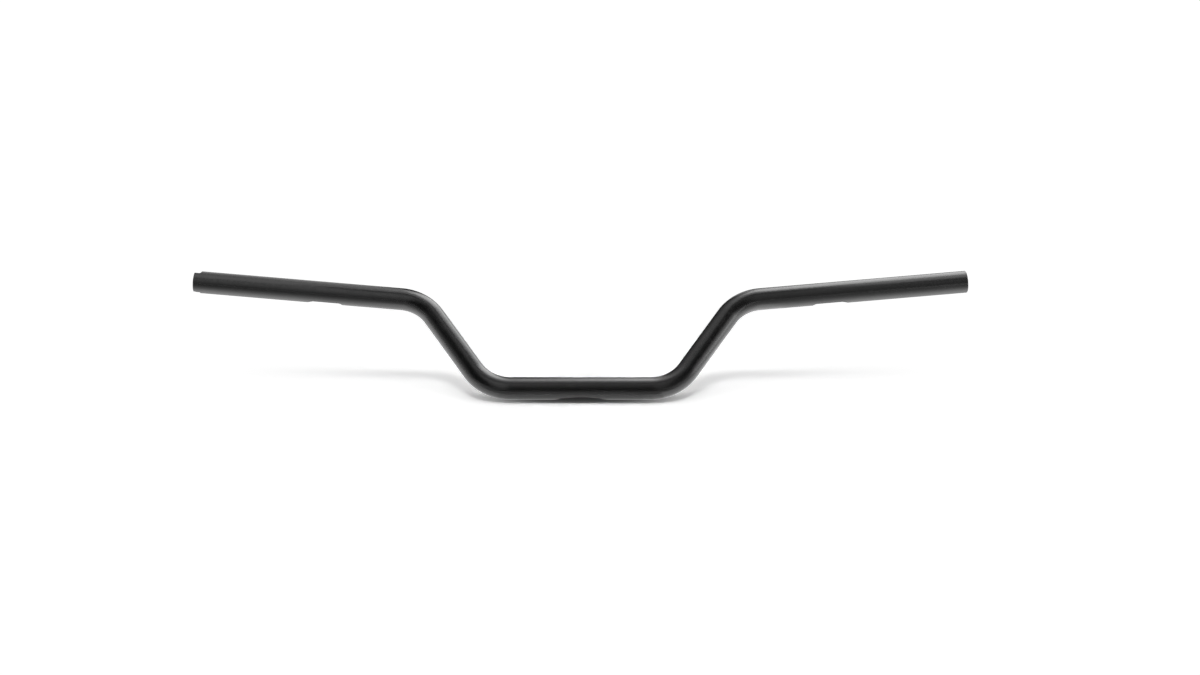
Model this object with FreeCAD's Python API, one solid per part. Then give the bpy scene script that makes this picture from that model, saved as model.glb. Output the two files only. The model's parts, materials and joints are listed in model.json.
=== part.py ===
"""One-piece motorcycle handlebar: a round steel tube bent in a single plane.

A straight clamp section lies along X, with its middle at the origin. On each side a riser
climbs from it and an arm runs out to the tip. The plane of the bends leans back towards the
rider, who sits on the +Y side, so the rider's right hand is on the -X side. +Z is up.
All sizes are in millimetres and degrees.
"""

import FreeCAD, Part
import math
import os

from FreeCAD import Vector

# Tube stock
tube_outer = 25.4
tube_wall = 2.4

# Bends, measured on the tube's centre line in the plane of the bar
tip_spacing = 889.0
centre_straight = 155.6
bend_radius = 52.0
riser_angle = 56.5
corner_rise = 114.0
arm_angle = 5.6
plane_lean = 47.0

# Wiring windows, all cut through the underside along one direction
window_lean = 19.0
centre_window_length = 55.0
centre_window_width = 15.0
arm_window_length = 40.0
arm_window_width = 12.0
right_hand_window_from_tip = 152.5
left_hand_window_from_tip = 158.9
window_edge_bevel = 0.6

# Throttle-sensor notches in the rider's right-hand tip
notch_depth = 7.5
upper_notch_width = 15.0
lower_notch_width = 10.0
notch_corner_round = 2.0

# Edges of the cut tips
rim_round = 1.0
bore_bevel = 0.6

outer_radius = tube_outer / 2
inner_radius = outer_radius - tube_wall
right_hand = -1
left_hand = 1


def turned_down(degrees_forward):
    """Direction that points straight down, turned forward about X."""
    angle = math.radians(degrees_forward)
    return Vector(0, -math.sin(angle), -math.cos(angle))


plane_up = turned_down(plane_lean) * -1
window_direction = turned_down(window_lean)


def alike(length, other):
    """True where two lengths agree to within a small part of the tube's wall."""
    return abs(length - other) < tube_wall / 10


def in_plane(across, height):
    """Point of the bar's plane, from its distance across the bar and its height up the plane."""
    return Vector(across, 0, 0) + plane_up * height


def corners(side):
    """Sharp corners and tip of one half of the centre line, from the middle outwards."""
    riser = math.radians(riser_angle)
    arm = math.radians(arm_angle)
    foot = centre_straight / 2 + bend_radius * math.tan(riser / 2)
    shoulder = foot + corner_rise / math.tan(riser)
    tip = tip_spacing / 2
    tip_height = corner_rise + (tip - shoulder) * math.tan(arm)
    return [
        in_plane(side * foot, 0),
        in_plane(side * shoulder, corner_rise),
        in_plane(side * tip, tip_height),
    ]


def arm_line(side):
    """Tip of an arm and the unit direction along the arm towards it."""
    foot, shoulder, tip = corners(side)
    return tip, (tip - shoulder).normalize()


def rounded_path(points, radius):
    """Wire through the points, with each inner corner rounded by a tangent arc."""
    edges = []
    start = points[0]
    for before, corner, after in zip(points, points[1:], points[2:]):
        back = (before - corner).normalize()
        ahead = (after - corner).normalize()
        half_opening = back.getAngle(ahead) / 2
        setback = radius / math.tan(half_opening)
        bisector = (back + ahead).normalize()
        arc_start = corner + back * setback
        arc_middle = corner + bisector * (radius / math.sin(half_opening) - radius)
        arc_end = corner + ahead * setback
        edges.append(Part.LineSegment(start, arc_start).toShape())
        edges.append(Part.Arc(arc_start, arc_middle, arc_end).toShape())
        start = arc_end
    edges.append(Part.LineSegment(start, points[-1]).toShape())
    return Part.Wire(edges)


def round_bar(path, radius):
    """Solid round bar swept along the path."""
    start = path.Edges[0]
    direction = start.tangentAt(start.FirstParameter)
    section = Part.Wire(Part.makeCircle(radius, start.Vertexes[0].Point, direction))
    return path.makePipeShell([section], True, True)


def rims(tube, radius):
    """Circles of the given radius on the faces of both tips."""
    found = []
    for edge in tube.Edges:
        if isinstance(edge.Curve, Part.Circle) and alike(edge.Curve.Radius, radius):
            centre = edge.Curve.Center
            if any(alike(centre.distanceToPoint(corners(side)[-1]), 0) for side in (right_hand, left_hand)):
                found.append(edge)
    return found


def blunt_tube():
    """Bent tube with the rims of both tips rounded outside and bevelled inside."""
    path = rounded_path(corners(right_hand)[::-1] + corners(left_hand), bend_radius)
    tube = round_bar(path, outer_radius).cut(round_bar(path, inner_radius))
    tube = tube.makeFillet(min(rim_round, tube_wall / 2), rims(tube, outer_radius))
    return tube.makeChamfer(min(bore_bevel, tube_wall / 3), rims(tube, inner_radius))


def square_to_tube(centre, along, outward):
    """Placement with X along the tube and Z out of its wall, as near to outward as it can be."""
    turn = FreeCAD.Rotation(along, Vector(), outward, "XZY")
    return FreeCAD.Placement(centre, turn)


def plunge(outline, placement):
    """Cutter with the given outline, from the tube's axis out through one wall."""
    tool = Part.Face(outline).extrude(Vector(0, 0, tube_outer))
    tool.Placement = placement
    return tool


def oval_outline(length, width):
    """Ellipse about the origin."""
    return Part.Wire(Part.Ellipse(Vector(), length / 2, width / 2).toShape())


def slot_outline(length, width):
    """Slot about the origin, with half-round ends."""
    end = width / 2
    reach = length / 2 - end
    return Part.Wire([
        Part.LineSegment(Vector(-reach, -end, 0), Vector(reach, -end, 0)).toShape(),
        Part.Arc(Vector(reach, -end, 0), Vector(reach + end, 0, 0), Vector(reach, end, 0)).toShape(),
        Part.LineSegment(Vector(reach, end, 0), Vector(-reach, end, 0)).toShape(),
        Part.Arc(Vector(-reach, end, 0), Vector(-reach - end, 0, 0), Vector(-reach, -end, 0)).toShape(),
    ])


def notch_outline(width):
    """Notch that runs in from the tip at the origin, with rounded inner corners."""
    half = width / 2
    corner = min(notch_corner_round, half, notch_depth)
    bulge = corner * (1 - math.sqrt(0.5))
    floor = -notch_depth
    out = notch_depth
    return Part.Wire([
        Part.LineSegment(Vector(out, -half, 0), Vector(out, half, 0)).toShape(),
        Part.LineSegment(Vector(out, half, 0), Vector(floor + corner, half, 0)).toShape(),
        Part.Arc(
            Vector(floor + corner, half, 0),
            Vector(floor + bulge, half - bulge, 0),
            Vector(floor, half - corner, 0),
        ).toShape(),
        Part.LineSegment(Vector(floor, half - corner, 0), Vector(floor, corner - half, 0)).toShape(),
        Part.Arc(
            Vector(floor, corner - half, 0),
            Vector(floor + bulge, bulge - half, 0),
            Vector(floor + corner, -half, 0),
        ).toShape(),
        Part.LineSegment(Vector(floor + corner, -half, 0), Vector(out, -half, 0)).toShape(),
    ])


def mouth_edges(bar, centre, along, length):
    """Edges where a window of the given length breaks through the outside of the tube."""
    found = []
    for edge in bar.Edges:
        first, last = edge.ParameterRange
        points = [edge.valueAt(at) - centre for at in (first, (first + last) / 2, last)]
        near = all(abs(point.dot(along)) < length for point in points)
        if near and all(alike(point.cross(along).Length, outer_radius) for point in points):
            found.append(edge)
    return found


def cut_window(bar, centre, along, outline, length):
    """Bar with one window cut through its underside and the window's outer edge bevelled."""
    bar = bar.cut(plunge(outline, square_to_tube(centre, along, window_direction)))
    bevel = min(window_edge_bevel, tube_wall / 3)
    return bar.makeChamfer(bevel, mouth_edges(bar, centre, along, length))


def cut_notches(bar, side):
    """Bar with the pair of throttle-sensor notches cut into one tip."""
    tip, along = arm_line(side)
    notches = ((upper_notch_width, window_direction * -1), (lower_notch_width, window_direction))
    for width, outward in notches:
        bar = bar.cut(plunge(notch_outline(width), square_to_tube(tip, along, outward)))
    return bar


def handlebar():
    """Finished bar, as one solid."""
    oval = oval_outline(centre_window_length, centre_window_width)
    slot = slot_outline(arm_window_length, arm_window_width)
    bar = cut_window(blunt_tube(), Vector(), Vector(1, 0, 0), oval, centre_window_length)
    places = ((right_hand, right_hand_window_from_tip), (left_hand, left_hand_window_from_tip))
    for side, from_tip in places:
        tip, along = arm_line(side)
        bar = cut_window(bar, tip - along * from_tip, along, slot, arm_window_length)
    return cut_notches(bar, right_hand).Solids[0]


os.makedirs("parts", exist_ok=True)
handlebar().exportStep("parts/handlebar.step")
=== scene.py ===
"""Dresses a bent-tube motorcycle handlebar: a fine tube skin, its satin black coat and a studio.

Lengths are in metres and angles in radians, apart from the studio's bearings and spreads, which
are in degrees, and names that end in px or mm. A place on the tube is given by how far it lies
along the centre line from the middle of the clamp section (towards the clutch-side tip is
positive) and by its turn about the centre line, counted from the direction in which the wiring
windows face.
"""

import json
import logging
import math
from dataclasses import dataclass, field
from enum import Enum
from functools import lru_cache

import bmesh
import bpy
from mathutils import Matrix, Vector


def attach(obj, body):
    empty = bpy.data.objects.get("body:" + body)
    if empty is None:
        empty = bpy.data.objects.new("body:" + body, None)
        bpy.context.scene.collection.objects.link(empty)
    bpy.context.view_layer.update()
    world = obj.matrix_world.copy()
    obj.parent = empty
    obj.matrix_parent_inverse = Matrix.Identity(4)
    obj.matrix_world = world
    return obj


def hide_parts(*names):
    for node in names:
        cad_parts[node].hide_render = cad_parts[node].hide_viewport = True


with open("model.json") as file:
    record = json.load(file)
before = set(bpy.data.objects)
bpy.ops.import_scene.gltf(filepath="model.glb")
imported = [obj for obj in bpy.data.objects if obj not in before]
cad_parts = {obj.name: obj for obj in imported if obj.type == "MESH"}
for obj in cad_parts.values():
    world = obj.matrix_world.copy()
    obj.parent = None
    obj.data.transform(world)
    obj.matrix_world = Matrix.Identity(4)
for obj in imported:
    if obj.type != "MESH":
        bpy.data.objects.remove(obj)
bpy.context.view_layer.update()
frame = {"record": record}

log = logging.getLogger("handlebar")

MM = 0.001
FULL_TURN = 2 * math.pi
RIGHT_ANGLE = math.pi / 2
SLACK = 1e-6
PLACE_DIGITS = 9
COAT, EDGE, TONE = "coat", "edge", "tone"
OPEN_SPREAD = 180.0

Pair = tuple[float, float]
Colour = tuple[float, float, float, float]
Loop = list[bmesh.types.BMVert]
Socket = bpy.types.NodeSocket


def add_object(name: str, data: bpy.types.ID) -> bpy.types.Object:
    """Adds an object to the scene.

    Args:
        name: Its name.
        data: Its mesh, lamp or camera.

    Returns:
        The object.
    """
    made = bpy.data.objects.new(name, data)
    bpy.context.scene.collection.objects.link(made)
    return made


def between(ends: Pair, share: float) -> float:
    """Number that lies a share of the way between two ends."""
    return ends[0] + (ends[1] - ends[0]) * share


class Side(Enum):
    """The two arms, by their sign along X."""

    THROTTLE = -1
    CLUTCH = 1


class Outline(Enum):
    """Shapes that a wiring window is cut to."""

    OVAL = "oval"
    SLOT = "slot"


class Wall(Enum):
    """The two faces of the tube's wall."""

    OUTSIDE = "outside"
    BORE = "bore"


class Mix(Enum):
    """Kinds of mix node, each with its data type, its two inputs and its output."""

    COLOUR = ("RGBA", 6, 7, 2)
    NUMBER = ("FLOAT", 2, 3, 0)


class Serves(Enum):
    """What a lamp is there for: to light surfaces, or to be mirrored in the coat."""

    LIGHT = "light"
    MIRROR = "mirror"


@dataclass(frozen=True)
class Seat:
    """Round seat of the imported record: a stretch of straight tube."""

    point: Vector
    axis: Vector
    radius: float
    length: float

    @classmethod
    def named(cls, name: str) -> "Seat":
        """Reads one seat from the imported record.

        Args:
            name: The mount's name in the record.

        Returns:
            The seat, in metres.
        """
        mount = next(m for m in frame["record"]["mounts"] if m["name"] == name)
        radius, length = mount["dims"]["r_mm"] * MM, mount["dims"]["length_mm"] * MM
        return cls(Vector(mount["pos_m"]), Vector(mount["axis"]), radius, length)


@dataclass(frozen=True)
class Stretch:
    """One straight or bent stretch of half the centre line, in the plane of the bar."""

    start: float
    length: float
    across: float
    height: float
    heading: float
    curvature: float

    def at(self, along: float) -> tuple[float, float, float]:
        """Gives the place and heading at a distance along the half line.

        Args:
            along: Distance from the middle of the bar.

        Returns:
            Distance across the bar, height up its plane, and heading.
        """
        run = along - self.start
        if not self.curvature:
            return (
                self.across + run * math.cos(self.heading),
                self.height + run * math.sin(self.heading),
                self.heading,
            )
        heading = self.heading + run * self.curvature
        return (
            self.across + (math.sin(heading) - math.sin(self.heading)) / self.curvature,
            self.height - (math.cos(heading) - math.cos(self.heading)) / self.curvature,
            heading,
        )


@dataclass
class CentreLine:
    """Centre line of the tube: the clamp section, two bends, a riser and an arm on each side."""

    bend_radius: float = 52 * MM
    riser_angle: float = math.radians(56.5)
    window_lean: float = math.radians(19)
    rim_round: float = 1 * MM
    stretches: list[Stretch] = field(default_factory=list)

    def __post_init__(self) -> None:
        """Works out the stretches from the seats that the record states."""
        clamp = Seat.named("centre_clamp")
        grip = Seat.named("clutch_side_grip")
        rise = Vector((0, grip.axis.y, grip.axis.z))
        self.plane_up = rise.normalized()
        down, forward = math.cos(self.window_lean), math.sin(self.window_lean)
        self.window_direction = Vector((0, -forward, -down))
        arm_angle = math.atan2(rise.length, grip.axis.x)
        self._add(clamp.length / 2, 0)
        self._add(self.bend_radius * self.riser_angle, 1 / self.bend_radius)
        arm_start = grip.point - grip.axis * (grip.length / 2)
        turn_back = self.riser_angle - arm_angle
        across, height, _ = self.stretches[-1].at(self.end)
        sag = self.bend_radius * (math.cos(arm_angle) - math.cos(self.riser_angle))
        climb = arm_start.dot(self.plane_up) - height - sag
        self._add(climb / math.sin(self.riser_angle), 0)
        self._add(self.bend_radius * turn_back, -1 / self.bend_radius)
        self._add(grip.length + self.rim_round, 0)

    @property
    def end(self) -> float:
        """Distance from the middle of the bar to the end of the last stretch."""
        return self.stretches[-1].start + self.stretches[-1].length

    def _add(self, length: float, curvature: float) -> None:
        """Adds a stretch that runs on from the last one.

        Args:
            length: Length of the stretch.
            curvature: One over its bend radius, negative where it turns back, or 0.
        """
        if self.stretches:
            start = self.end
            across, height, heading = self.stretches[-1].at(start)
        else:
            start = across = height = heading = 0.0
        self.stretches.append(Stretch(start, length, across, height, heading, curvature))

    def axes(self, along: float) -> tuple[Vector, Vector, Vector, Vector]:
        """Gives the tube's own axes at a place on the centre line.

        Args:
            along: Place along the centre line.

        Returns:
            The point, the direction along the tube, the direction that the windows face there,
            and the direction square to both.
        """
        side = -1 if along < 0 else 1
        reach = abs(along)
        reached = (s for s in self.stretches if reach <= s.start + s.length)
        stretch = next(reached, self.stretches[-1])
        across, height, heading = stretch.at(reach)
        point = Vector((side * across, 0, 0)) + self.plane_up * height
        ahead = Vector((math.cos(heading), 0, 0)) + self.plane_up * (side * math.sin(heading))
        facing = (self.window_direction - ahead * self.window_direction.dot(ahead)).normalized()
        return point, ahead, facing, ahead.cross(facing)


@dataclass(frozen=True)
class Spot:
    """A place on one face of the tube's wall, by its distance along and its turn."""

    along: float
    turn: float

    def towards(self, other: "Spot", share: float) -> "Spot":
        """Gives the spot that lies a share of the way to another.

        Args:
            other: The other spot.
            share: Share of the way, from 0 to 1.

        Returns:
            The spot between them.
        """
        along = between((self.along, other.along), share)
        return Spot(along, between((self.turn, other.turn), share))


@dataclass(frozen=True)
class Window:
    """Wiring window through one wall of a straight stretch."""

    outline: Outline
    middle: float
    length: float
    width: float

    def fine_outline(self, steps: int = 720) -> list[Pair]:
        """Traces the outline in plan, finely.

        Args:
            steps: Number of points.

        Returns:
            Points along and across the tube, from the clutch-side end round.
        """
        half, end = self.length / 2, self.width / 2
        points = []
        for step in range(steps):
            angle = FULL_TURN * step / steps
            if self.outline is Outline.OVAL:
                along = half * math.cos(angle)
            else:
                along = math.copysign(half - end, math.cos(angle)) + end * math.cos(angle)
            points.append((along, end * math.sin(angle)))
        return points

    def plan(self, count: int) -> list[Pair]:
        """Traces the outline in plan with evenly spaced points.

        Args:
            count: Number of points.

        Returns:
            Points along and across the tube, from the clutch-side end round.
        """
        fine = self.fine_outline()
        fine.append(fine[0])
        lengths = [0.0]
        for (x0, y0), (x1, y1) in zip(fine, fine[1:]):
            lengths.append(lengths[-1] + math.hypot(x1 - x0, y1 - y0))
        points = []
        at = 0
        for step in range(count):
            goal = lengths[-1] * step / count
            while lengths[at + 1] < goal:
                at += 1
            share = (goal - lengths[at]) / (lengths[at + 1] - lengths[at])
            along, across = (between(ends, share) for ends in zip(fine[at], fine[at + 1]))
            points.append((along, across))
        return points

    def spots(self, radius: float, count: int) -> list[Spot]:
        """Traces the outline on a face of the wall.

        Args:
            radius: Radius of that face.
            count: Number of points.

        Returns:
            Spots round the window.
        """
        return [Spot(self.middle + x, math.asin(y / radius)) for x, y in self.plan(count)]


@dataclass(frozen=True)
class Notch:
    """Notch in a tip, open to its end."""

    width: float
    floor_steps: int
    side_steps: int
    depth: float = 7.5 * MM
    corner: float = 2 * MM
    corner_steps: int = 4

    def half_plan(self) -> list[Pair]:
        """Traces half the notch in plan, from the middle of its floor to the tip.

        Returns:
            Points as depth from the tip and distance across.
        """
        half = self.width / 2
        straight = half - self.corner
        floor = [straight * step / self.floor_steps for step in range(self.floor_steps)]
        points = [(self.depth, across) for across in floor]
        for step in range(self.corner_steps):
            angle = RIGHT_ANGLE * step / self.corner_steps
            points.append((
                self.depth - self.corner * (1 - math.cos(angle)),
                straight + self.corner * math.sin(angle),
            ))
        side = self.depth - self.corner
        points += [(side * (1 - step / self.side_steps), half) for step in range(self.side_steps)]
        return points


Notches = tuple[Notch, Notch] | None


@dataclass(frozen=True)
class CutEdge:
    """Rings of points that turn from the outside of the wall, through a cut, to the bore."""

    outer: list[Spot]
    inner: list[Spot]
    rounding: list[float]
    bevel: list[float]
    into: int
    round_steps: int = 5


@dataclass
class TubeSkin:
    """Closed skin of the bent tube, with its windows, notches and blunted rims."""

    line: CentreLine
    outer_radius: float
    inner_radius: float
    around: int = 96
    straight_step: float = 6 * MM
    bend_step: float = 2 * MM
    window_step: float = 1.6 * MM
    window_margin: float = 12 * MM
    window_turn_steps: int = 16
    tip_span: float = 22 * MM
    patch_rings: int = 9
    patch_ease: float = 1.6
    window_round: float = 0.6 * MM
    window_bevel: float = 0.2 * MM
    notch_round: float = 0.35 * MM
    notch_bevel: float = 0.15 * MM
    bore_bevel: float = 0.6 * MM
    coat_reach: float = 28 * MM
    sharp_angle: float = math.radians(40)

    def __post_init__(self) -> None:
        """Starts an empty mesh with the layers that the finish reads."""
        self.mesh = bmesh.new()
        self.coat = self.mesh.verts.layers.float.new(COAT)
        self.edge = self.mesh.verts.layers.float.new(EDGE)
        self.openings: list[Pair] = []
        self.rings: list[float] = []
        self.grids: dict[Wall, list[Loop]] = {}
        self.axes = lru_cache(maxsize=None)(self.line.axes)

    def radius(self, wall: Wall) -> float:
        """Radius of one face of the wall."""
        return self.outer_radius if wall is Wall.OUTSIDE else self.inner_radius

    def place(self, spot: Spot, radius: float) -> Vector:
        """Gives the point at a spot.

        Args:
            spot: Place along the tube and turn about it.
            radius: Distance from the centre line.

        Returns:
            The point in the part's frame.
        """
        point, _, facing, beside = self.axes(round(spot.along, PLACE_DIGITS))
        return point + (facing * math.cos(spot.turn) + beside * math.sin(spot.turn)) * radius

    def coat_at(self, wall: Wall, spot: Spot) -> float:
        """Works out how much of the outside coat reaches a spot.

        Args:
            wall: Face of the wall.
            spot: Place on that face.

        Returns:
            1 on the outside, fading to 0 down the bore.
        """
        if wall is Wall.OUTSIDE:
            return 1.0
        gap = min(max(abs(spot.along - middle) - half, 0) for middle, half in self.openings)
        return max(0.0, 1 - gap / self.coat_reach) ** 2

    def vertex(self, point: Vector, coat: float, edge: float) -> bmesh.types.BMVert:
        """Adds one point.

        Args:
            point: Its place.
            coat: Its share of the outside coat.
            edge: Its nearness to a cut edge, from 0 to 1.

        Returns:
            The new point.
        """
        made = self.mesh.verts.new(point)
        made[self.coat] = coat
        made[self.edge] = edge
        return made

    def loop(self, spots: list[Spot], wall: Wall, edge: float = 0.0) -> Loop:
        """Adds a loop of points on one face of the wall.

        Args:
            spots: Places of the points.
            wall: Face of the wall.
            edge: Nearness to a cut edge, from 0 to 1.

        Returns:
            The new points, in order.
        """
        radius = self.radius(wall)
        return [self.vertex(self.place(s, radius), self.coat_at(wall, s), edge) for s in spots]

    def bridge(self, first: Loop, second: Loop) -> None:
        """Joins two closed loops with a band of quads.

        Args:
            first: Points of one loop.
            second: As many points of the other, in the same order.
        """
        for at, (a, b) in enumerate(zip(first, second)):
            after = (at + 1) % len(first)
            self.mesh.faces.new((a, first[after], second[after], b))

    def into_material(self, spots: list[Spot], radius: float, sign: int) -> list[Pair]:
        """Works out, for each point of a cut's outline, the direction into the wall's face.

        Args:
            spots: The outline on that face.
            radius: Radius of the face.
            sign: 1 or -1, for the side of the outline that the wall is on.

        Returns:
            Unit directions, along the tube and round it.
        """
        directions = []
        count = len(spots)
        for at in range(count):
            before, after = spots[at - 1], spots[(at + 1) % count]
            wrap = FULL_TURN if after.turn - before.turn < -math.pi else 0.0
            forward = after.along - before.along
            round_it = (after.turn + wrap - before.turn) * radius
            size = math.hypot(forward, round_it)
            directions.append((sign * round_it / size, -sign * forward / size))
        return directions

    def moved(self, spots: list[Spot], sizes: list[float], radius: float, sign: int) -> list[Spot]:
        """Moves an outline into the wall's face by the given sizes.

        Args:
            spots: The outline.
            sizes: How far each point moves.
            radius: Radius of the face.
            sign: Side of the outline that the wall is on.

        Returns:
            The moved outline.
        """
        directions = self.into_material(spots, radius, sign)
        return [
            Spot(spot.along + size * forward, spot.turn + size * round_it / radius)
            for spot, size, (forward, round_it) in zip(spots, sizes, directions)
        ]

    def patch(
        self,
        outline: list[Spot],
        frame_spots: list[Spot],
        frame_loop: Loop,
        wall: Wall,
    ) -> Loop:
        """Fills the face of the wall between a cut's outline and the loop of points round it.

        Args:
            outline: The cut's outline.
            frame_spots: Places of the loop's points.
            frame_loop: The loop's points.
            wall: Face of the wall.

        Returns:
            The points on the outline.
        """
        inmost = self.loop(outline, wall, edge=1.0)
        last = inmost
        for ring in range(1, self.patch_rings):
            share = (ring / self.patch_rings) ** self.patch_ease
            spots = [a.towards(b, share) for a, b in zip(outline, frame_spots)]
            made = self.loop(spots, wall)
            self.bridge(last, made)
            last = made
        self.bridge(last, frame_loop)
        return inmost

    def cut_wall(self, cut: CutEdge, outside: Loop, bore: Loop) -> None:
        """Adds the rounded edge, the cut's own wall and the bevelled edge in the bore.

        Args:
            cut: The cut's outlines and edge sizes.
            outside: Points where the rounding starts on the outside.
            bore: Points where the bevel ends on the bore.
        """
        tops = [self.place(spot, self.outer_radius) for spot in cut.outer]
        feet = [self.place(spot, self.inner_radius) for spot in cut.inner]
        inward = [(foot - top).normalized() for foot, top in zip(feet, tops)]
        directions = self.into_material(cut.outer, self.outer_radius, cut.into)
        last = outside
        for step in range(1, cut.round_steps + 1):
            angle = RIGHT_ANGLE * step / cut.round_steps
            ring = []
            for at, spot in enumerate(cut.outer):
                _, ahead, facing, beside = self.axes(round(spot.along, PLACE_DIGITS))
                round_it = beside * math.cos(spot.turn) - facing * math.sin(spot.turn)
                forward, sideways = directions[at]
                away = ahead * forward + round_it * sideways
                shift = away * (1 - math.sin(angle)) + inward[at] * (1 - math.cos(angle))
                ring.append(self.vertex(tops[at] + shift * cut.rounding[at], coat=1.0, edge=1.0))
            self.bridge(last, ring)
            last = ring
        ring = [
            self.vertex(foot - way * bevel, coat=1.0, edge=0.5)
            for foot, way, bevel in zip(feet, inward, cut.bevel)
        ]
        self.bridge(last, ring)
        self.bridge(ring, bore)

    def close_cut(self, cut: CutEdge, frames: dict[Wall, tuple[list[Spot], Loop]]) -> None:
        """Joins a cut to the loops of points round it on both faces of the wall.

        Args:
            cut: The cut's outlines and edge sizes.
            frames: For each face, the places and points of the loop round the cut.
        """
        outer = self.moved(cut.outer, cut.rounding, self.outer_radius, cut.into)
        inner = self.moved(cut.inner, cut.bevel, self.inner_radius, cut.into)
        outside = self.patch(outer, *frames[Wall.OUTSIDE], Wall.OUTSIDE)
        bore = self.patch(inner, *frames[Wall.BORE], Wall.BORE)
        self.cut_wall(cut, outside, bore)

    def fill(self, start: float, stop: float, longest: float) -> list[float]:
        """Divides a stretch evenly.

        Args:
            start: Where it starts.
            stop: Where it stops.
            longest: Longest step allowed.

        Returns:
            Places after the start, up to and with the stop.
        """
        steps = max(1, math.ceil((stop - start) / longest - SLACK))
        return [start + (stop - start) * step / steps for step in range(1, steps + 1)]

    def stations(self, windows: list[Window]) -> list[float]:
        """Places along the tube where a ring of points stands.

        Args:
            windows: The wiring windows, each of which has an even band of rings.

        Returns:
            Places in order, from the throttle-side tip to the other.
        """
        last = self.line.end - self.tip_span
        marks: dict[float, float] = {-last: self.straight_step}
        for stretch in self.line.stretches:
            step = self.bend_step if stretch.curvature else self.straight_step
            marks[stretch.start] = step
            marks[-stretch.start - stretch.length] = step
        for window in windows:
            low, high = self.band(window)
            marks[low] = self.window_step
            marks[high] = self.straight_step
        marks[last] = 0.0
        places = sorted(mark for mark in marks if abs(mark) <= last + SLACK)
        rings = [places[0]]
        for here, there in zip(places, places[1:]):
            rings += self.fill(here, there, marks[here])
        return rings

    def band(self, window: Window) -> Pair:
        """Where the band of rings round a window starts and stops."""
        half = window.length / 2 + self.window_margin
        return window.middle - half, window.middle + half

    def turn(self, step: int) -> float:
        """Turn of one of the lines of points that run along the tube."""
        return FULL_TURN * step / self.around

    def build(self, windows: list[Window], tips: dict[Side, Notches]) -> bpy.types.Mesh:
        """Builds the whole skin.

        Args:
            windows: The wiring windows.
            tips: For each side, the lower and upper notch of its tip, or None.

        Returns:
            The finished mesh.
        """
        tip = self.line.end
        self.openings = [(w.middle, w.length / 2) for w in windows] + [(-tip, 0.0), (tip, 0.0)]
        self.rings = self.stations(windows)
        self.grids = {wall: self.grid(wall) for wall in Wall}
        gaps = [self.gap(window) for window in windows]
        for grid in self.grids.values():
            self.weave(grid, gaps)
        for window, gap in zip(windows, gaps):
            self.cut_window(window, gap)
        for side, notches in tips.items():
            self.cut_tip(side, notches)
        bmesh.ops.recalc_face_normals(self.mesh, faces=self.mesh.faces)
        mesh = bpy.data.meshes.new("handlebar_tube")
        self.mesh.to_mesh(mesh)
        self.mesh.free()
        mesh.shade_smooth()
        mesh.set_sharp_from_angle(angle=self.sharp_angle)
        return mesh

    def grid(self, wall: Wall) -> list[Loop]:
        """Adds the rings of points of one face of the wall."""
        turns = [self.turn(step) for step in range(self.around)]
        return [self.loop([Spot(along, turn) for turn in turns], wall) for along in self.rings]

    def gap(self, window: Window) -> tuple[int, int]:
        """Finds the first and last ring of the band that a window interrupts."""
        ends = (min(self.rings, key=lambda along: abs(along - end)) for end in self.band(window))
        return tuple(self.rings.index(along) for along in ends)

    def weave(self, grid: list[Loop], gaps: list[tuple[int, int]]) -> None:
        """Joins the rings of one face with quads, apart from where the windows are.

        Args:
            grid: Rings of points.
            gaps: First and last ring of each window's band.
        """
        most = self.window_turn_steps
        open_steps = {step % self.around for step in range(-most, most)}
        for at, (ring, after) in enumerate(zip(grid, grid[1:])):
            windowed = any(first <= at < last for first, last in gaps)
            for step in range(self.around):
                if not (windowed and step in open_steps):
                    beside = (step + 1) % self.around
                    self.mesh.faces.new((ring[step], ring[beside], after[beside], after[step]))
        for first, last in gaps:
            for ring in grid[first + 1 : last]:
                for step in range(1 - most, most):
                    self.mesh.verts.remove(ring[step % self.around])

    def cut_window(self, window: Window, gap: tuple[int, int]) -> None:
        """Closes the gap left for a window with its patches and its cut edge.

        Args:
            window: The window.
            gap: First and last ring of its band.
        """
        first, last = gap
        most = self.window_turn_steps
        path = [(last, step) for step in range(0, most)]
        path += [(ring, most) for ring in range(last, first, -1)]
        path += [(first, step) for step in range(most, -most, -1)]
        path += [(ring, -most) for ring in range(first, last)]
        path += [(last, step) for step in range(-most, 0)]
        spots = [Spot(self.rings[ring], self.turn(step)) for ring, step in path]
        count = len(path)
        cut = CutEdge(
            window.spots(self.outer_radius, count),
            window.spots(self.inner_radius, count),
            [self.window_round] * count,
            [self.window_bevel] * count,
            into=1,
        )
        self.close_cut(cut, {
            wall: (spots, [grid[ring][step % self.around] for ring, step in path])
            for wall, grid in self.grids.items()
        })

    def tip_spots(self, side: Side, notches: Notches, radius: float) -> list[Spot]:
        """Traces the whole outline of a tip on a face of the wall.

        Args:
            side: Which tip.
            notches: The lower and upper notch, or None.
            radius: Radius of the face.

        Returns:
            Spots all round the tip.
        """
        lower, upper = [], []
        start = stop = 0.0
        if notches:
            lower, upper = (
                [(depth, math.asin(across / radius)) for depth, across in notch.half_plan()]
                for notch in notches
            )
            start, stop = (math.asin(notch.width / 2 / radius) for notch in notches)
        rim = self.around // 2 - len(lower) - len(upper)
        open_turn = math.pi - stop - start
        half = lower + [(0.0, start + open_turn * (step / rim)) for step in range(rim + 1)]
        half += [(depth, math.pi - turn) for depth, turn in reversed(upper)]
        full = half + [(depth, FULL_TURN - turn) for depth, turn in reversed(half[1:-1])]
        tip = side.value * self.line.end
        return [Spot(tip - side.value * depth, turn) for depth, turn in full]

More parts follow.
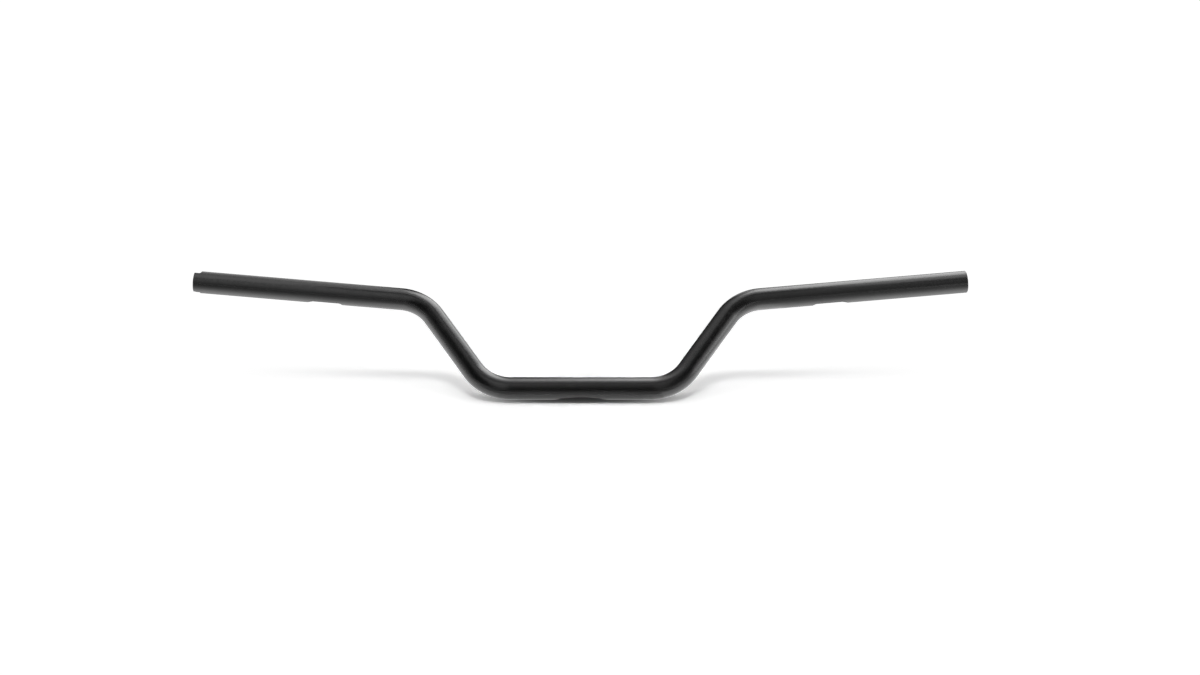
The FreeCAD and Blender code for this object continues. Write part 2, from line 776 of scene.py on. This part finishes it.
    def cut_tip(self, side: Side, notches: Notches) -> None:
        """Closes one tip with its rounded rim, its notches and the bevel of its bore.

        Args:
            side: Which tip.
            notches: The lower and upper notch, or None.
        """
        ring = 0 if side is Side.THROTTLE else -1
        spots = [Spot(self.rings[ring], self.turn(step)) for step in range(self.around)]
        outer = self.tip_spots(side, notches, self.outer_radius)
        rim = [abs(abs(spot.along) - self.line.end) < SLACK for spot in outer]
        cut = CutEdge(
            outer,
            self.tip_spots(side, notches, self.inner_radius),
            [self.line.rim_round if on_rim else self.notch_round for on_rim in rim],
            [self.bore_bevel if on_rim else self.notch_bevel for on_rim in rim],
            into=-side.value,
        )
        self.close_cut(cut, {wall: (spots, grid[ring]) for wall, grid in self.grids.items()})


@dataclass(frozen=True)
class PowderCoat:
    """Satin black powder coat on the outside, thinning to dull phosphated steel down the bore."""

    name: str = "satin_black_powder_coat"
    deep_black: Colour = (0.004, 0.004, 0.0041, 1)
    worn_black: Colour = (0.0062, 0.0062, 0.0062, 1)
    edge_black: Colour = (0.012, 0.012, 0.012, 1)
    bare_steel: Colour = (0.055, 0.052, 0.049, 1)
    smooth_roughness: float = 0.22
    rough_roughness: float = 0.27
    steel_roughness: float = 0.62
    refraction: float = 1.53
    specular_level: float = 1.0
    peel_size: float = 1.4 * MM
    peel_depth: float = 0.045 * MM
    flow_size: float = 6 * MM
    flow_depth: float = 0.08 * MM
    cloud_size: float = 70 * MM
    fine_layers: float = 2
    cloud_layers: float = 3

    def build(self) -> bpy.types.Material:
        """Builds the coat's material.

        Returns:
            The material.
        """
        material = bpy.data.materials.new(self.name)
        material.use_nodes = True
        nodes = NodeBench(material.node_tree)
        shader = material.node_tree.nodes["Principled BSDF"]
        shader.inputs["IOR"].default_value = self.refraction
        shader.inputs["Specular IOR Level"].default_value = self.specular_level
        place = nodes.add("ShaderNodeTexCoord").outputs["Object"]
        cloud = nodes.noise(place, self.cloud_size, self.cloud_layers)
        flow = nodes.noise(place, self.flow_size, self.fine_layers)
        peel = nodes.noise(place, self.peel_size, self.fine_layers)
        edge = nodes.attribute(EDGE)
        coat = nodes.attribute(COAT)
        black = nodes.mix(Mix.COLOUR, cloud, self.deep_black, self.worn_black)
        thin = nodes.mix(Mix.COLOUR, edge, black, self.edge_black)
        colour = nodes.mix(Mix.COLOUR, coat, self.bare_steel, thin)
        nodes.link(colour, shader.inputs["Base Color"])
        satin = nodes.spread(flow, self.smooth_roughness, self.rough_roughness)
        roughness = nodes.mix(Mix.NUMBER, coat, self.steel_roughness, satin)
        nodes.link(roughness, shader.inputs["Roughness"])
        bump = nodes.bump(flow, self.flow_depth, None)
        bump = nodes.bump(peel, self.peel_depth, bump)
        nodes.link(bump, shader.inputs["Normal"])
        return material


@dataclass
class NodeBench:
    """Short ways to add and join the nodes of one material or world."""

    tree: bpy.types.NodeTree
    usual_low: float = 0.3
    usual_high: float = 0.7

    def add(self, kind: str) -> bpy.types.Node:
        """Adds a node of the given kind."""
        return self.tree.nodes.new(kind)

    def link(self, source: Socket, target: Socket) -> None:
        """Joins two sockets."""
        self.tree.links.new(source, target)

    def put(self, value: object, target: Socket) -> None:
        """Joins a socket to another, or sets a plain value on it.

        Args:
            value: A socket, or the plain value.
            target: The socket that takes it.
        """
        if isinstance(value, Socket):
            self.link(value, target)
        else:
            target.default_value = value

    def noise(self, place: Socket, size: float, detail: float) -> Socket:
        """Adds a noise whose lumps are about the given size.

        Args:
            place: Coordinates.
            size: Size of a lump.
            detail: Number of finer layers.

        Returns:
            The noise's value.
        """
        noise = self.add("ShaderNodeTexNoise")
        noise.inputs["Scale"].default_value = 1 / size
        noise.inputs["Detail"].default_value = detail
        self.link(place, noise.inputs["Vector"])
        return noise.outputs["Fac"]

    def attribute(self, name: str) -> Socket:
        """Reads a value stored on the mesh.

        Args:
            name: The value's name.

        Returns:
            The value.
        """
        node = self.add("ShaderNodeAttribute")
        node.attribute_name = name
        return node.outputs["Fac"]

    def mix(self, kind: Mix, share: object, first: object, second: object) -> Socket:
        """Mixes two colours or two numbers.

        Args:
            kind: What is mixed.
            share: Share of the second one.
            first: What there is where the share is 0.
            second: What there is where the share is 1.

        Returns:
            The mixture.
        """
        data_type, first_input, second_input, output = kind.value
        node = self.add("ShaderNodeMix")
        node.data_type = data_type
        self.put(share, node.inputs[0])
        self.put(first, node.inputs[first_input])
        self.put(second, node.inputs[second_input])
        return node.outputs[output]

    def math(self, operation: str, *values: object) -> Socket:
        """Works out one sum.

        Args:
            operation: Kind of sum, by its name in the node.
            values: The sockets or numbers that it works on.

        Returns:
            The result.
        """
        node = self.add("ShaderNodeMath")
        node.operation = operation
        for at, value in enumerate(values):
            self.put(value, node.inputs[at])
        return node.outputs[0]

    def vector(self, operation: str, *values: object) -> Socket:
        """Works out one sum of vectors.

        Args:
            operation: Kind of sum, by its name in the node.
            values: The sockets or vectors that it works on.

        Returns:
            The result, a number where the sum gives one.
        """
        node = self.add("ShaderNodeVectorMath")
        node.operation = operation
        for at, value in enumerate(values):
            self.put(value, node.inputs[at])
        return node.outputs["Value" if operation == "DOT_PRODUCT" else "Vector"]

    def spread(self, value: Socket, low: float, high: float) -> Socket:
        """Maps the usual range of a noise to another range.

        Args:
            value: The noise's value.
            low: Where the new range starts.
            high: Where it stops.

        Returns:
            The mapped value.
        """
        node = self.add("ShaderNodeMapRange")
        node.inputs["From Min"].default_value = self.usual_low
        node.inputs["From Max"].default_value = self.usual_high
        node.inputs["To Min"].default_value = low
        node.inputs["To Max"].default_value = high
        self.link(value, node.inputs["Value"])
        return node.outputs["Result"]

    def bump(self, height: Socket, depth: float, under: Socket | None) -> Socket:
        """Adds fine relief.

        Args:
            height: Height of the relief, from 0 to 1.
            depth: Depth of the relief.
            under: Relief that this one lies on, or None.

        Returns:
            The normal.
        """
        node = self.add("ShaderNodeBump")
        node.inputs["Distance"].default_value = depth
        self.link(height, node.inputs["Height"])
        if under is not None:
            self.link(under, node.inputs["Normal"])
        return node.outputs["Normal"]

    def unscattered(self) -> Socket:
        """Finds the rays that no matt surface has scattered on their way.

        Returns:
            1 for such rays and 0 for the others.
        """
        path = self.add("ShaderNodeLightPath")
        return self.math("LESS_THAN", path.outputs["Diffuse Depth"], 1.0)

    def seen_rays(self) -> Socket:
        """Finds the rays that show a surface: camera, glossy and transmission rays.

        Returns:
            1 for such rays and 0 for the others.
        """
        path = self.add("ShaderNodeLightPath")
        either = path.outputs["Is Camera Ray"]
        for name in ("Is Glossy Ray", "Is Transmission Ray"):
            either = self.math("MAXIMUM", either, path.outputs[name])
        return self.math("MULTIPLY", either, self.unscattered())


@dataclass
class Handlebar:
    """The bar: one bent tube with three wiring windows and a notched throttle tip."""

    node: str = "handlebar"
    slot: str = "satin_black_coat"
    body: str = "root"
    line: CentreLine = field(default_factory=CentreLine)
    centre_length: float = 55 * MM
    centre_width: float = 15 * MM
    arm_length: float = 40 * MM
    arm_width: float = 12 * MM
    throttle_window_from_tip: float = 152.5 * MM
    clutch_window_from_tip: float = 158.9 * MM
    lower_notch: Notch = Notch(width=10 * MM, floor_steps=3, side_steps=4)
    upper_notch: Notch = Notch(width=15 * MM, floor_steps=7, side_steps=5)
    finish: PowderCoat = PowderCoat()

    def windows(self) -> list[Window]:
        """Places the wiring windows.

        Returns:
            The windows, from the throttle side to the clutch side.
        """
        throttle = self.throttle_window_from_tip - self.line.end
        clutch = self.line.end - self.clutch_window_from_tip
        return [
            Window(Outline.SLOT, throttle, self.arm_length, self.arm_width),
            Window(Outline.OVAL, 0.0, self.centre_length, self.centre_width),
            Window(Outline.SLOT, clutch, self.arm_length, self.arm_width),
        ]

    def build(self) -> bpy.types.Object:
        """Builds the tube's skin.

        Returns:
            The new object, in place of the plain node.
        """
        skin = TubeSkin(
            self.line,
            Seat.named("clutch_side_grip").radius,
            Seat.named("clutch_side_bore").radius,
        )
        mesh = skin.build(self.windows(), {
            Side.THROTTLE: (self.lower_notch, self.upper_notch),
            Side.CLUTCH: None,
        })
        tube = add_object("handlebar_tube", mesh)
        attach(tube, self.body)
        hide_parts(self.node)
        return tube

    def dress(self, tube: bpy.types.Object) -> None:
        """Gives the tube its coat."""
        tube.data.materials.append(self.finish.build())


@dataclass(frozen=True)
class Softbox:
    """Even lamp that hangs in a direction from a place on the bar's level and faces it."""

    name: str
    serves: Serves
    azimuth: float
    elevation: float
    distance: float
    width: float
    depth: float
    brightness: float
    spread: float = OPEN_SPREAD
    over: Pair = (0.0, 0.0)

    def build(self) -> bpy.types.Object:
        """Hangs the lamp.

        Returns:
            The lamp.
        """
        data = bpy.data.lights.new(self.name, "AREA")
        data.shape = "RECTANGLE"
        data.size = self.width
        data.size_y = self.depth
        data.energy = self.brightness * math.pi * self.width * self.depth
        if self.spread < OPEN_SPREAD:
            half = math.radians(self.spread / 2)
            data.spread = 2 * half
            data.energy *= 1 - half / math.tan(half)
        lamp = add_object(self.name, data)
        outward = bearing(self.azimuth, self.elevation)
        lamp.location = Vector((*self.over, 0)) + outward * self.distance
        lamp.rotation_euler = (-outward).to_track_quat("-Z", "Y").to_euler()
        lamp.visible_glossy = self.serves is Serves.MIRROR
        lamp.visible_diffuse = self.serves is Serves.LIGHT
        return lamp


def bearing(azimuth: float, elevation: float) -> Vector:
    """Turns a bearing into a direction.

    Args:
        azimuth: Degrees from the camera's side, towards the clutch side.
        elevation: Degrees above the horizon.

    Returns:
        Unit direction from the bar.
    """
    turn, rise = math.radians(azimuth), math.radians(elevation)
    level = math.cos(rise)
    return Vector((math.sin(turn) * level, -math.cos(turn) * level, math.sin(rise)))


@dataclass(frozen=True)
class Dip:
    """Soft patch of the floor that glows less because lamps light it."""

    depth: float
    centre: Pair
    reach: Pair
    flatness: float = 1.0

    def dress(self, nodes: NodeBench, place: Socket) -> Socket:
        """Builds the patch's share of the floor's glow.

        Args:
            nodes: Bench of the floor's material.
            place: Position on the floor.

        Returns:
            What the patch takes from the glow.
        """
        offset = nodes.vector("SUBTRACT", place, (*self.centre, 0))
        offset = nodes.vector("DIVIDE", offset, (*self.reach, 1))
        square = nodes.vector("DOT_PRODUCT", offset, offset)
        fall = nodes.math("MULTIPLY", nodes.math("POWER", square, self.flatness), -1.0)
        return nodes.math("MULTIPLY", nodes.math("EXPONENT", fall), self.depth)


@dataclass(frozen=True)
class Flag:
    """Dark curved card between two bearings, which only the coat mirrors."""

    name: str
    azimuths: Pair
    elevations: Pair
    shades: Pair
    ease: float = 2.0
    distance: float = 40.0
    steps: int = 24

    def build(self) -> bpy.types.Object:
        """Stands the card in the studio.

        Returns:
            The card.
        """
        points, tones = [], []
        shares = [step / self.steps for step in range(self.steps + 1)]
        for up in shares:
            tone = between(self.shades, up ** self.ease)
            for across in shares:
                turn, rise = between(self.azimuths, across), between(self.elevations, up)
                points.append(bearing(turn, rise) * self.distance)
                tones.append(tone)
        return stand_card(self.name, points, tones, self.steps + 1)


@dataclass(frozen=True)
class LevelCard:
    """Flat level card above the floor, which only the coat mirrors."""

    name: str
    span: Pair
    stops: tuple[Pair, ...]
    lift: float = 0.3 * MM

    def build(self) -> bpy.types.Object:
        """Hangs the card level.

        Returns:
            The card.
        """
        height = self.lift - Seat.named("centre_clamp").radius
        points, tones = [], []
        for depth, tone in self.stops:
            points += [Vector((across, depth, height)) for across in self.span]
            tones += [tone, tone]
        return stand_card(self.name, points, tones, 2)


def stand_card(name: str, points: list[Vector], tones: list[float], wide: int) -> bpy.types.Object:
    """Makes a card that only mirrored rays meet.

    Args:
        name: The card's name.
        points: Its points, row by row.
        tones: How bright each point looks, where 1 is white.
        wide: Number of points in a row.

    Returns:
        The card.
    """
    material = bpy.data.materials.new(name)
    material.use_nodes = True
    material.cycles.emission_sampling = "NONE"
    nodes = NodeBench(material.node_tree)
    nodes.tree.nodes.clear()
    tone = nodes.add("ShaderNodeEmission")
    strength = nodes.math("MULTIPLY", nodes.attribute(TONE), nodes.unscattered())
    nodes.link(strength, tone.inputs["Strength"])
    nodes.link(tone.outputs[0], nodes.add("ShaderNodeOutputMaterial").inputs["Surface"])
    starts = [at for at in range(len(points) - wide) if (at + 1) % wide]
    mesh = bpy.data.meshes.new(name)
    mesh.from_pydata(points, [], [(at, at + 1, at + wide + 1, at + wide) for at in starts])
    mesh.attributes.new(TONE, "FLOAT", "POINT").data.foreach_set("value", tones)
    mesh.materials.append(material)
    card = add_object(name, mesh)
    card.visible_camera = False
    card.visible_diffuse = False
    card.visible_transmission = False
    card.visible_shadow = False
    return card


@dataclass(frozen=True)
class PhotoCamera:
    """Camera that stands where the photograph was taken from."""

    image_width_px: float = 1200
    focal_px: float = 2193
    middle_px: float = 580.5
    distance: float = 2441.8 * MM
    elevation: float = math.radians(17.326)
    aim_height: float = 59.83 * MM
    sensor_mm: float = 36
    sight: float = 100

    def build(self) -> bpy.types.Object:
        """Places the camera and makes it the scene's own.

        Returns:
            The camera.
        """
        data = bpy.data.cameras.new("photo_camera")
        data.sensor_width = self.sensor_mm
        data.lens = data.sensor_width * self.focal_px / self.image_width_px
        data.shift_x = (self.image_width_px / 2 - self.middle_px) / self.image_width_px
        data.clip_end = self.sight
        camera = add_object("photo_camera", data)
        aim = Vector((0, 0, self.aim_height))
        away = Vector((0, -math.cos(self.elevation), math.sin(self.elevation)))
        camera.location = aim + away * self.distance
        camera.rotation_euler = (-away).to_track_quat("-Z", "Y").to_euler()
        bpy.context.scene.camera = camera
        return camera


@dataclass
class Studio:
    """Pale floor, soft light and the photograph's camera."""

    floor_height: float
    floor_half: float = 9.0
    floor_white: float = 0.9
    far_glow: float = 1.0
    dips: tuple[Dip, ...] = (
        Dip(depth=0.09, centre=(0.0, 0.0), reach=(0.9, 0.9)),
        Dip(depth=0.44, centre=(0.0, -0.004), reach=(0.108, 0.112), flatness=2.0),
        Dip(depth=0.33, centre=(-0.107, 0.06), reach=(0.195, 0.195)),
        Dip(depth=0.33, centre=(0.107, 0.06), reach=(0.195, 0.195)),
    )
    ambient: float = 0.04
    camera: PhotoCamera = PhotoCamera()
    lamps: tuple[Softbox, ...] = (
        *(
            Softbox(
                name, Serves.LIGHT,
                azimuth=90 * side, elevation=72, distance=0.841,
                width=0.2, depth=0.2, brightness=30.0, spread=34, over=(0.1 * side, 0.06),
            )
            for name, side in (("throttle_key", -1), ("clutch_key", 1))
        ),
        *(
            Softbox(
                name, Serves.LIGHT,
                azimuth=180, elevation=elevation, distance=0.514,
                width=0.18, depth=0.17, brightness=brightness, spread=16,
            )
            for name, elevation, brightness in (
                ("clamp_high_key", 78, 25.8), ("clamp_key", 67, 32.7), ("clamp_low_key", 56, 27.5),
            )
        ),
        Softbox(
            "overhead_softbox", Serves.LIGHT,
            azimuth=0, elevation=90, distance=0.75,
            width=1.1, depth=1.1, brightness=0.34,
        ),
        Softbox(
            "rear_softbox", Serves.MIRROR,
            azimuth=158, elevation=48, distance=2.6,
            width=1.1, depth=2.6, brightness=2.3,
        ),
        Softbox(
            "clutch_softbox", Serves.MIRROR,
            azimuth=88, elevation=4, distance=2.6,
            width=0.8, depth=0.5, brightness=1.8,
        ),
    )
    cards: tuple[Flag | LevelCard, ...] = (
        # Azimuths, elevations, the shades at those elevations and the ease between them
        Flag("throttle_arm_flag", (-24, -7), (-6, 62), (0.09, 0.95), 1.0),
        Flag("throttle_top_flag", (-24, -7), (62, 82), (0.7, 0.05)),
        Flag("middle_flag", (-7, 7), (-6, 82), (0.0, 0.4), 4.0),
        Flag("clutch_arm_flag", (7, 22), (-6, 64), (0.17, 0.55), 1.2),
        Flag("clutch_top_flag", (7, 22), (64, 82), (0.45, 0.1)),
        Flag("throttle_riser_flag", (-62, -24), (-6, 84), (0.05, 0.0), 0.5),
        Flag("clutch_riser_flag", (22, 48), (-6, 84), (0.2, 0.0), 0.35),
        Flag("throttle_low_flag", (-105, -62), (-6, 40), (0.6, 0.02), 0.7),
        Flag("throttle_high_flag", (-105, -62), (40, 82), (0.02, 0.4)),
        Flag("clutch_low_flag", (48, 65), (-6, 38), (0.35, 0.0), 0.8),
        Flag("clutch_high_flag", (48, 122), (38, 82), (0.0, 0.15), 3.0),
        Flag("clutch_rear_flag", (122, 140), (55, 82), (0.5, 0.5)),
        Flag("rear_flag", (168, 183), (-3, 32), (0.4, 0.4)),
        Flag("rear_throttle_flag", (-168, -105), (-3, 82), (0.0, 0.8), 1.7),
        Flag("near_throttle_flag", (-177, -164), (-1, 40), (0.0, 0.0), distance=1.05),
        # Span across the bar, then stops of depth and tone
        LevelCard(
            "front_middle_card", (-0.15, 0.15),
            ((-2.5, 0.03), (-0.3, 0.05), (-0.08, 0.12), (-0.02, 0.45)),
        ),
        LevelCard(
            "front_throttle_card", (-2.0, -0.15),
            ((-2.5, 0.05), (-0.37, 0.2), (-0.07, 0.4), (-0.02, 0.65)),
        ),
        LevelCard(
            "front_clutch_card", (0.15, 0.75),
            ((-2.5, 0.1), (-0.37, 0.3), (-0.07, 0.45), (-0.02, 0.7)),
        ),
        LevelCard(
            "outer_clutch_card", (0.75, 5.0),
            ((-2.5, 0.2), (-1.0, 1.0), (-0.2, 1.9), (0.6, 1.9)),
        ),
        LevelCard("rear_throttle_card", (-1.8, -0.05), ((0.45, 0.03), (3.0, 0.03))),
        LevelCard("clamp_card", (-0.07, 0.07), ((-0.019, 0.65), (0.02, 0.75), (0.06, 1.3))),
        LevelCard(
            "throttle_foot_card", (-0.082, -0.07),
            ((-0.019, 0.72), (0.02, 0.9), (0.06, 1.35)),
        ),
        LevelCard(
            "throttle_ankle_card", (-0.095, -0.082),
            ((-0.019, 0.8), (0.02, 1.1), (0.1, 1.5), (0.45, 1.0)),
        ),
        LevelCard(
            "throttle_bend_card", (-0.27, -0.095),
            ((-0.019, 0.9), (0.02, 1.3), (0.1, 1.6), (0.2, 1.1), (0.45, 1.0)),
        ),
        LevelCard(
            "throttle_arm_card", (-0.6, -0.27),
            ((-0.019, 0.65), (0.02, 0.9), (0.06, 1.4), (0.1, 1.6), (0.2, 0.8), (0.45, 0.8)),
        ),
        LevelCard("clutch_foot_card", (0.07, 0.082), ((-0.019, 0.74), (0.02, 0.95), (0.06, 1.35))),
        LevelCard(
            "clutch_ankle_card", (0.082, 0.095),
            ((-0.019, 0.85), (0.02, 1.2), (0.1, 1.65), (0.45, 1.0)),
        ),
        LevelCard(
            "clutch_bend_card", (0.095, 0.25),
            ((-0.03, 1.0), (0.02, 1.6), (0.1, 2.0), (0.2, 1.2), (0.45, 1.0)),
        ),
        LevelCard(
            "clutch_arm_card", (0.25, 0.6),
            ((-0.019, 0.65), (0.02, 0.95), (0.06, 1.45), (0.1, 1.6), (0.2, 0.8), (0.45, 0.8)),
        ),
        # Near-black card just above the floor under the centre window: a painted shadow, seen only
        # in the coat's reflections, that stands in for the shade under the tube there
        LevelCard(
            "window_shadow_card", (-0.0235, 0.0235),
            ((-0.0085, 0.01), (0.012, 0.01)), lift=0.6 * MM,
        ),
        LevelCard("throttle_overhead_card", (-0.75, -0.35), ((-0.09, 0.8), (0.13, 0.9)), lift=0.5),
        LevelCard("clutch_overhead_card", (0.35, 0.75), ((-0.09, 0.7), (0.13, 1.5)), lift=0.5),
    )

    def floor(self) -> bpy.types.Object:
        """Lays the floor.

        Returns:
            The floor.
        """
        mesh = bpy.data.meshes.new("floor")
        half = self.floor_half
        corners = [(-half, -half), (half, -half), (half, half), (-half, half)]
        mesh.from_pydata([(x, y, self.floor_height) for x, y in corners], [], [(0, 1, 2, 3)])
        mesh.materials.append(self.paper())
        floor = add_object("floor", mesh)
        return floor

    def paper(self) -> bpy.types.Material:
        """Builds the floor's white paper, which shows as white further out.

        Returns:
            The material.
        """
        material = bpy.data.materials.new("white_paper")
        material.use_nodes = True
        nodes = NodeBench(material.node_tree)
        nodes.tree.nodes.clear()
        diffuse = nodes.add("ShaderNodeBsdfDiffuse")
        white = self.floor_white
        diffuse.inputs["Color"].default_value = (white, white, white, 1)
        glow = nodes.add("ShaderNodeEmission")
        place = nodes.add("ShaderNodeNewGeometry").outputs["Position"]
        level = self.far_glow
        for dip in self.dips:
            level = nodes.math("SUBTRACT", level, dip.dress(nodes, place))
        level = nodes.math("MAXIMUM", level, 0.0)
        nodes.link(nodes.math("MULTIPLY", level, nodes.seen_rays()), glow.inputs["Strength"])
        both = nodes.add("ShaderNodeAddShader")
        nodes.link(diffuse.outputs[0], both.inputs[0])
        nodes.link(glow.outputs[0], both.inputs[1])
        out = nodes.add("ShaderNodeOutputMaterial")
        nodes.link(both.outputs[0], out.inputs["Surface"])
        return material

    def world(self) -> bpy.types.World:
        """Builds the white surroundings.

        Returns:
            The world.
        """
        world = bpy.data.worlds.new("white_room")
        bpy.context.scene.world = world
        world.use_nodes = True
        nodes = NodeBench(world.node_tree)
        back = world.node_tree.nodes["Background"]
        back.inputs["Color"].default_value = (1, 1, 1, 1)
        strength = nodes.mix(Mix.NUMBER, nodes.seen_rays(), self.ambient, 1.0)
        nodes.link(strength, back.inputs["Strength"])
        return world

    def build(self) -> None:
        """Sets up the floor, the light and the camera."""
        self.floor()
        self.world()
        for item in self.lamps + self.cards:
            item.build()
            log.info("stage %s", item.name)
        self.camera.build()
        bpy.context.scene.view_settings.view_transform = "Standard"


def main() -> None:
    """Builds the bar and the studio, and reports each piece."""
    logging.basicConfig(level=logging.INFO, format="%(name)s: %(message)s")
    bar = Handlebar()
    tube = bar.build()
    bar.dress(tube)
    log.info("piece %s with %d faces", tube.name, len(tube.data.polygons))
    Studio(floor_height=-Seat.named("centre_clamp").radius).build()


if __name__ == "__main__":
    main()
